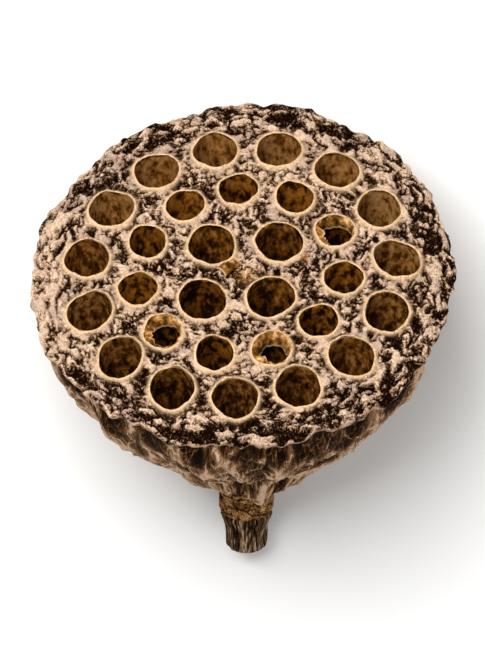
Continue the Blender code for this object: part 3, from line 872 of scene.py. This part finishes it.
# %% Torn skins
TORN_CELLS = (
    {"cell": 17, "aside": 0.06, "along": -0.12, "share": 0.84, "fall": 3.2 * MM, "crumbs": 200.0},
    {"cell": 20, "aside": 0.12, "along": -0.18, "share": 0.74, "fall": 3.6 * MM, "crumbs": 235.0},
    {"cell": 22, "aside": 0.16, "along": -0.10, "share": 0.76, "fall": 2.8 * MM, "crumbs": 190.0},
)
SKIN_SEED = 200
SKIN_AROUND = 160
SKIN_ACROSS = 14
SKIN_THICKNESS = 0.25 * MM
SKIN_DROP = 0.25 * MM
SKIN_TUCK = 0.15 * MM
WIDEST_TEAR = 0.93
CRUMB_SPREAD = math.radians(38.0)
CRUMB_HEIGHT = 2.6 * MM


def torn_skin_points(torn, across, along):
    """A ring from the cell's wall (along 0) to the ragged edge of the tear (along 1), upright in its cell."""
    cell = CELLS[torn["cell"]]
    seed = SKIN_SEED + torn["cell"]
    angle = turn_of(across)
    around = circle_at(0.0, 1.0, angle)
    outer = (mouth_radius(cell, angle) + SKIN_TUCK)[:, None] * around
    crumbs = bell(turned_from(math.radians(torn["crumbs"]), angle), CRUMB_SPREAD)
    ragged = 1.0 + 0.14 * noise_at(around, 0.6, seed)
    ragged += (0.05 + 0.30 * crumbs) * noise_at(around, 0.2, seed + 1)
    middle = np.array([torn["aside"], torn["along"], 0.0]) * cell["mouth"]
    tear = (cell["mouth"] * torn["share"] * ragged)[:, None] * around + middle
    reach = np.linalg.norm(tear[:, :2], axis=1)
    tear *= np.minimum(1.0, WIDEST_TEAR * cell["mouth"] / np.maximum(reach, 1e-9))[:, None]
    points = outer + (tear - outer) * along[:, None]
    far = 0.25 + 0.75 * smooth_step(-0.6, 0.6, around[:, 1])
    curl = np.maximum(0.0, noise_at(around, 0.22, seed + 2)) * crumbs
    fold = noise_at(points, 1.2 * MM, seed + 3)
    fall = torn["fall"] * far * along**1.4 * (1.0 - 0.9 * crumbs)
    lift = (CRUMB_HEIGHT * curl + 0.2 * MM * fold) * smooth_step(0.1, 0.5, along)
    points[:, 2] = LIP_HEIGHT - SKIN_DROP - fall + lift
    # Painted shadow down the far side, and in the tone painted light on the +x side.
    shadow = 0.3 * far * smooth_step(0.25, 0.9, along)
    tone = np.clip(0.50 + 0.35 * fold - shadow + 0.18 * around[:, 0] + 0.45 * crumbs * along, 0.0, 1.0)
    return points, {"tone": tone, "edge": smooth_step(0.86, 1.0, along)}


def make_torn_skin(torn):
    name = f"torn_skin_{torn['cell'] + 1:02d}"
    place_point = functools.partial(torn_skin_points, torn)
    piece = roll_up(name, SKIN_AROUND, SKIN_ACROSS, place_point, SKIN_THICKNESS)
    tilt, place = cell_stand(CELLS[torn["cell"]])
    piece.data.transform(LYING @ Matrix.Translation(place) @ tilt)
    return piece


torn_skins = [make_torn_skin(torn) for torn in TORN_CELLS]
print([piece.name for piece in torn_skins])

# %% [markdown]
# A curled scrap of the same skin stands on the ridge between the four middle cells. It is a small sheet,
# wider at its foot, bent over like a shaving.

# %% Scrap of skin
SCRAP_PLACE = Vector((-2.9 * MM, 1.3 * MM, LIP_HEIGHT))
SCRAP_TURN = math.radians(36.0)
SCRAP_LIFT = math.radians(-8.0)
SCRAP_LENGTH = 5.6 * MM
SCRAP_WIDTH = 4.4 * MM
SCRAP_THICKNESS = 0.4 * MM
SCRAP_GRID = (28, 40)
SCRAP_BOW = 3.4


def scrap_points(across, along):
    """A curled strip: along runs from its foot to its tip."""
    torn = noise_at(np.column_stack([along * 3.0, across * 2.0, np.zeros_like(along)]), 0.8, 301)
    nibbled = noise_at(np.outer(along, (4.0, 0.0, 0.0)), 0.7, 302)
    half = 0.42 * SCRAP_WIDTH * (1.0 - 0.35 * along) * (1.0 + 0.12 * nibbled)
    x = (along - 0.5) * SCRAP_LENGTH + 0.5 * MM * torn * np.abs(2.0 * along - 1.0)
    bow = (across - 0.35) * SCRAP_BOW
    z = (np.cos(bow) - 0.4) * half + 0.3 * MM * np.sin(along * 5.0) + 0.2 * MM * torn
    # Painted light: a paler band along the top of the curl.
    tone = np.clip(0.26 + 0.6 * torn + 0.40 * smooth_step(0.3, 0.0, np.abs(across - 0.45)), 0.0, 1.0)
    points = np.column_stack([x, np.sin(bow) * half, z])
    return points, {"tone": tone, "edge": smooth_step(0.4, 0.5, np.abs(along - 0.5))}


scrap = roll_up("skin_scrap", *SCRAP_GRID, scrap_points, SCRAP_THICKNESS)
scrap_turn = Matrix.Rotation(SCRAP_TURN, 4, "Z") @ Matrix.Rotation(SCRAP_LIFT, 4, "Y")
scrap.data.transform(LYING @ Matrix.Translation(SCRAP_PLACE) @ scrap_turn)
print("skin_scrap:", len(scrap.data.polygons), "faces")

# %% [markdown]
# The finishes are shader nodes. They could be wired one by one, but small helpers that add nodes and ramps
# let each finish read as a short recipe.

# %% Node helpers
NO_SHINE = 0.02


def add_node(tree, kind, inputs=None, **settings):
    """Adds a node. An input may be a value or another node's output."""
    node = tree.nodes.new(kind)
    for name, value in settings.items():
        setattr(node, name, value)
    for name, value in (inputs or {}).items():
        if isinstance(value, bpy.types.NodeSocket):
            tree.links.new(value, node.inputs[name])
        else:
            node.inputs[name].default_value = value
    return node


def math_node(tree, operation, first, second, clamp=False):
    inputs = {0: first, 1: second}
    return add_node(tree, "ShaderNodeMath", inputs, operation=operation, use_clamp=clamp).outputs[0]


def times(tree, first, second, clamp=False):
    return math_node(tree, "MULTIPLY", first, second, clamp)


def ramp(tree, factor, stops):
    """A colour ramp through (position, red, green, blue) stops."""
    node = add_node(tree, "ShaderNodeValToRGB", {"Fac": factor})
    elements = node.color_ramp.elements
    while len(elements) < len(stops):
        elements.new(0.5)
    for element, (position, *colour) in zip(elements, stops):
        element.position = position
        element.color = (*colour, 1.0)
    return node.outputs["Color"]


def blend(tree, factor, first, second):
    """Mixes two colours."""
    return add_node(tree, "ShaderNodeMix", {0: factor, 6: first, 7: second}, data_type="RGBA").outputs[2]


def attribute(tree, name, output="Fac"):
    return add_node(tree, "ShaderNodeAttribute", attribute_name=name).outputs[output]


def spread(tree, value, low, high):
    """Maps low to 0 and high to 1."""
    node = add_node(tree, "ShaderNodeMapRange", {"Value": value, "From Min": low, "From Max": high})
    return node.outputs["Result"]


def start_material(name, roughness):
    material = bpy.data.materials.new(name)
    material.use_nodes = True
    shader = material.node_tree.nodes["Principled BSDF"]
    shader.inputs["Roughness"].default_value = roughness
    shader.inputs["Specular IOR Level"].default_value = NO_SHINE
    return material, material.node_tree, shader


def coat(tree, shader, colour, height, strength, depth):
    """Links the colour and a bump, and says how strong and how deep the bump is."""
    tree.links.new(colour, shader.inputs["Base Color"])
    bump = add_node(tree, "ShaderNodeBump", {"Strength": strength, "Distance": depth, "Height": height})
    tree.links.new(bump.outputs["Normal"], shader.inputs["Normal"])


print("node helpers ready")

# %% [markdown]
# All the dry surfaces need the same three textures at different sizes: soft patches, fine flecks, and small
# lumps with sharp creases. They could be built anew in each material, but one node group keeps them alike.

# %% Mottle, a group for every dry surface
def make_mottle():
    group = bpy.data.node_groups.new("mottle", "ShaderNodeTree")
    group.interface.new_socket("Place", in_out="INPUT", socket_type="NodeSocketVector")
    for name in ("Patch Scale", "Fleck Scale", "Lump Scale"):
        group.interface.new_socket(name, in_out="INPUT", socket_type="NodeSocketFloat")
    for name in ("Patches", "Flecks", "Lumps"):
        group.interface.new_socket(name, in_out="OUTPUT", socket_type="NodeSocketFloat")
    start = group.nodes.new("NodeGroupInput")
    end = group.nodes.new("NodeGroupOutput")

    def spots(scale, detail, roughness, distortion=0.0):
        inputs = {"Vector": start.outputs["Place"], "Scale": start.outputs[scale], "Detail": detail}
        inputs.update({"Roughness": roughness, "Distortion": distortion})
        return add_node(group, "ShaderNodeTexNoise", inputs).outputs["Fac"]

    group.links.new(spots("Patch Scale", 3.0, 0.55), end.inputs["Patches"])
    group.links.new(spots("Fleck Scale", 4.0, 0.65), end.inputs["Flecks"])
    smooth = spots("Lump Scale", 1.0, 0.5, 0.6)
    size = math_node(group, "ABSOLUTE", math_node(group, "SUBTRACT", smooth, 0.5), 0.0)
    group.links.new(times(group, size, 5.0, clamp=True), end.inputs["Lumps"])
    return group


MOTTLE = make_mottle()


def mottle(tree, place, patch_mm, fleck_mm, lump_mm):
    """Places the group: its sizes are given in millimetres. Returns its patches, flecks and lumps."""
    node = tree.nodes.new("ShaderNodeGroup")
    node.node_tree = MOTTLE
    tree.links.new(place, node.inputs["Place"])
    for name, size in (("Patch Scale", patch_mm), ("Fleck Scale", fleck_mm), ("Lump Scale", lump_mm)):
        node.inputs[name].default_value = 1.0 / (size * MM)
    return node.outputs["Patches"], node.outputs["Flecks"], node.outputs["Lumps"]


def swung(tree, value, *swings):
    """Adds to a value each texture in turn: each swing is (texture, its middle, how strongly it counts)."""
    for texture, middle, strength in swings:
        about = times(tree, math_node(tree, "SUBTRACT", texture, middle), strength)
        value = math_node(tree, "ADD", value, about)
    return value


print("group:", MOTTLE.name)

# %% [markdown]
# The head's finish follows the points' own values. Crests of the crumple are pale buff and its creases almost
# black, with patches of mauve grey and of rust; the values paint light on the crests and shade in the
# creases. The lips are cream with tan flecks. The linings run from olive and amber down to dark brown, and
# those of the outer ring are greyer; the dark brown is painted shade that deepens down each cell, with
# blotches of dark stain. The wall is browner than the face, and thin pale veins of two sizes run along it,
# with painted shade in its hollows and troughs.
# One material blends them all, so that no border shows between them.

# %% Finish of the head
FACE_TONES = (
    (0.0, 0.005, 0.0012, 0.0003),
    (0.20, 0.024, 0.009, 0.003),
    (0.36, 0.11, 0.058, 0.027),
    (0.54, 0.34, 0.210, 0.126),
    (0.76, 0.61, 0.415, 0.285),
    (1.0, 0.82, 0.60, 0.42),
)
WALL_TONES = (
    (0.0, 0.004, 0.0010, 0.0002),
    (0.25, 0.040, 0.014, 0.003),
    (0.50, 0.140, 0.064, 0.022),
    (0.78, 0.34, 0.19, 0.095),
    (1.0, 0.72, 0.48, 0.31),
)
LINING_TONES = (
    (0.0, 0.012, 0.003, 0.0003),
    (0.30, 0.11, 0.036, 0.004),
    (0.52, 0.29, 0.115, 0.018),
    (0.72, 0.46, 0.235, 0.075),
    (1.0, 0.68, 0.44, 0.22),
)
AMBER = (0.38, 0.13, 0.010, 1.0)
OLIVE_GREY = (0.30, 0.175, 0.075, 1.0)
SHADE_AND_STAIN_DARK = (0.012, 0.004, 0.001, 1.0)
RUST = (0.58, 0.25, 0.065, 1.0)
MAUVE_GREY = (0.34, 0.235, 0.195, 1.0)
CREAM = (0.92, 0.63, 0.36, 1.0)
TAN = (0.50, 0.29, 0.15, 1.0)


def face_colour(tree, patches, flecks, lumps):
    """Pale crests and dark creases, painted light and painted shade. The flecks and the lumps fade where the
    mounds are smooth.
    """
    fade = spread(tree, attribute(tree, "smooth"), 1.6, 0.0)
    raised = attribute(tree, "raised")
    tone = swung(tree, raised, (flecks, 0.5, times(tree, fade, 1.35)), (lumps, 0.52, times(tree, fade, 0.5)))
    greyed = times(tree, spread(tree, patches, 0.50, 0.64), spread(tree, tone, 0.30, 0.60))
    face = blend(tree, times(tree, greyed, 0.45), ramp(tree, tone, FACE_TONES), MAUVE_GREY)
    rusty = times(tree, attribute(tree, "rust"), spread(tree, flecks, 0.40, 0.60))
    return blend(tree, times(tree, rusty, 0.85), face, RUST)


def wall_colour(tree, flecks):
    """Brown along the grain, with thin pale veins."""
    grain = attribute(tree, "grain", "Vector")
    patches, strands, folds = mottle(tree, grain, 4.0, 0.8, 3.1)
    _, _, small_folds = mottle(tree, grain, 4.0, 0.8, 1.5)
    thin = math_node(tree, "ADD", spread(tree, folds, 0.14, 0.02), spread(tree, small_folds, 0.16, 0.02))
    swings = ((strands, 0.5, 0.8), (patches, 0.5, 0.8), (flecks, 0.5, 0.9), (thin, -0.06, 0.36))
    return ramp(tree, swung(tree, attribute(tree, "raised"), *swings), WALL_TONES)


def lining_colour(tree):
    """Streaks and blotches of olive, amber and dark stain, with painted shade down the cell and in the cells
    given more of it.
    """
    blotches, streaks, _ = mottle(tree, attribute(tree, "grain", "Vector"), 2.4, 1.2, 1.6)
    depth, amber, shade_and_stain = (attribute(tree, name) for name in ("depth", "amber", "shade_and_stain"))
    # Painted shade: the tone falls down the cell and with the shade and stain each cell is given.
    swings = ((streaks, 0.5, 0.7), (blotches, 0.5, 1.25), (depth, 0.0, -0.2), (shade_and_stain, 0.0, -0.36))
    tone = swung(tree, 0.53, *swings)
    lining = ramp(tree, tone, LINING_TONES)
    greyed = times(tree, spread(tree, amber, 0.22, 0.10), spread(tree, tone, 0.30, 0.62))
    lining = blend(tree, times(tree, greyed, 0.55), lining, OLIVE_GREY)
    golden = times(tree, amber, spread(tree, blotches, 0.42, 0.60))
    lining = blend(tree, times(tree, golden, 0.8), lining, AMBER)
    # Dark blotches, stain and painted shade together, more where a cell is given more of them.
    shaded_and_stained = times(tree, shade_and_stain, spread(tree, blotches, 0.50, 0.40))
    lining = blend(tree, times(tree, shaded_and_stained, 0.9, clamp=True), lining, SHADE_AND_STAIN_DARK)
    # Painted shade: the lining goes near black towards the bottom of the cell.
    return blend(tree, spread(tree, depth, 0.5, 1.1), lining, SHADE_AND_STAIN_DARK)


def head_finish():
    material, tree, shader = start_material("dry_tissue_skin", 0.78)
    place = add_node(tree, "ShaderNodeTexCoord").outputs["Object"]
    patches, flecks, lumps = mottle(tree, place, 8.0, 0.5, 1.0)
    face = face_colour(tree, patches, flecks, lumps)
    colour = blend(tree, attribute(tree, "wall"), face, wall_colour(tree, flecks))
    colour = blend(tree, attribute(tree, "lining"), colour, lining_colour(tree))
    cream = blend(tree, spread(tree, flecks, 0.47, 0.33), CREAM, TAN)
    colour = blend(tree, times(tree, attribute(tree, "lip"), 0.95), colour, cream)
    height = math_node(tree, "ADD", times(tree, flecks, 0.7), times(tree, lumps, 0.6))
    height = times(tree, height, spread(tree, attribute(tree, "lining"), 1.2, 0.0))
    coat(tree, shader, colour, height, 0.8, 0.4 * MM)
    return material


head_skin.data.materials.append(head_finish())
print("finish of the head:", head_skin.data.materials[0].name)

# %% [markdown]
# The collar is ochre brown with dark scars, the torn bark is grey brown, and the pith at the cut is tan. The
# skin is one piece, so its finish blends the three by the points' own values, and its textures follow the
# grain that runs down the stalk. Those values paint shade into the cracks, pits and scars and light onto the
# bark's ridges and raised strands; the scars are also darker in their own colour.

# %% Finish of the stem
COLLAR_TONES = (
    (0.0, 0.012, 0.004, 0.001),
    (0.30, 0.07, 0.028, 0.006),
    (0.6, 0.24, 0.112, 0.036),
    (1.0, 0.62, 0.37, 0.17),
)
BARK_TONES = (
    (0.0, 0.007, 0.003, 0.001),
    (0.30, 0.035, 0.016, 0.007),
    (0.60, 0.13, 0.072, 0.036),
    (1.0, 0.58, 0.42, 0.29),
)
CUT_TONES = ((0.0, 0.03, 0.015, 0.006), (0.5, 0.17, 0.10, 0.05), (1.0, 0.40, 0.28, 0.17))


def stem_finish():
    material, tree, shader = start_material("stem_bark_skin", 0.78)
    patches, flecks, lumps = mottle(tree, attribute(tree, "grain", "Vector"), 3.0, 0.4, 0.7)
    value = swung(tree, attribute(tree, "raised"), (patches, 0.5, 0.8), (flecks, 0.5, 1.7), (lumps, 0.4, 0.3))
    collar, bark = (ramp(tree, value, tones) for tones in (COLLAR_TONES, BARK_TONES))
    colour = blend(tree, attribute(tree, "bark"), collar, bark)
    colour = blend(tree, attribute(tree, "cut"), colour, ramp(tree, flecks, CUT_TONES))
    coat(tree, shader, colour, flecks, 0.6, 0.2 * MM)
    return material


stem_skin.data.materials.append(stem_finish())
print("finish of the stem:", stem_skin.data.materials[0].name)

# %% [markdown]
# The torn skins and the scrap are thin and papery: amber with brown blotches, and paler along their edges.
# Their tone also holds painted light, on the +x side of each torn skin and along the top of the scrap's curl,
# and painted shadow down the far side of each torn skin. They are too small to need light that shines through
# them, so a plain matt finish does.

# %% Finish of the torn skins
SKIN_TONES = (
    (0.0, 0.03, 0.010, 0.001),
    (0.3, 0.12, 0.050, 0.010),
    (0.6, 0.41, 0.18, 0.042),
    (1.0, 0.88, 0.56, 0.27),
)
PALE_EDGE = (0.80, 0.52, 0.27, 1.0)


def torn_skin_finish():
    material, tree, shader = start_material("torn_skin_amber", 0.6)
    place = add_node(tree, "ShaderNodeTexCoord").outputs["Object"]
    patches, flecks, _ = mottle(tree, place, 2.6, 0.7, 1.0)
    value = swung(tree, attribute(tree, "tone"), (patches, 0.50, 1.5), (flecks, 0.5, 1.2))
    edge = times(tree, attribute(tree, "edge"), 0.75)
    coat(tree, shader, blend(tree, edge, ramp(tree, value, SKIN_TONES), PALE_EDGE), flecks, 0.5, 0.15 * MM)
    return material


amber_finish = torn_skin_finish()
for piece in torn_skins + [scrap]:
    piece.data.materials.append(amber_finish)
print("finish of the torn skins:", amber_finish.name)

# %% [markdown]
# The pod lies on a plain pale floor. A large soft light over the face gives the crests their brightness and
# leaves the cells dark, and a wide weak one opens the shadows.

# %% Floor and light
FLOOR_SIZE = 6.0
FLOOR_COLOUR = (0.93, 0.93, 0.92, 1.0)
LIT_PLACE = Vector((0.0, 0.0, 0.05))
SKY_STRENGTH = 0.35


def area_light(name, place, size, power):
    data = bpy.data.lights.new(name, "AREA")
    data.size = size
    data.energy = power
    light = add_object(name, data)
    light.location = place
    light.rotation_euler = (LIT_PLACE - Vector(place)).to_track_quat("-Z", "Y").to_euler()


bpy.ops.object.select_all(action="DESELECT")
bpy.ops.mesh.primitive_plane_add(size=FLOOR_SIZE, location=(0, 0, 0))
floor = bpy.context.object
floor.name = "floor"
floor_material, _, floor_shader = start_material("pale_floor", 0.9)
floor_shader.inputs["Base Color"].default_value = FLOOR_COLOUR
floor.data.materials.append(floor_material)

area_light("key", (-0.22, 0.42, 1.0), 0.6, 13.0)
area_light("fill", (0.7, -0.8, 0.9), 1.2, 4.0)
world = bpy.data.worlds.new("studio")
world.use_nodes = True
sky = world.node_tree.nodes["Background"]
sky.inputs["Color"].default_value = (1.0, 1.0, 1.0, 1.0)
sky.inputs["Strength"].default_value = SKY_STRENGTH
bpy.context.scene.world = world
bpy.context.scene.view_settings.view_transform = "Standard"
print("lights:", [light.name for light in bpy.data.lights])

# %% Tie the pieces to the frame
tissue_pieces = [head_skin] + torn_skins + [scrap]
for piece in tissue_pieces:
    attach(piece, "root")
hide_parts("receptacle")
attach(stem_skin, "root")
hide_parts("stem")
print("pieces on the frame:", [piece.name for piece in tissue_pieces + [stem_skin]])
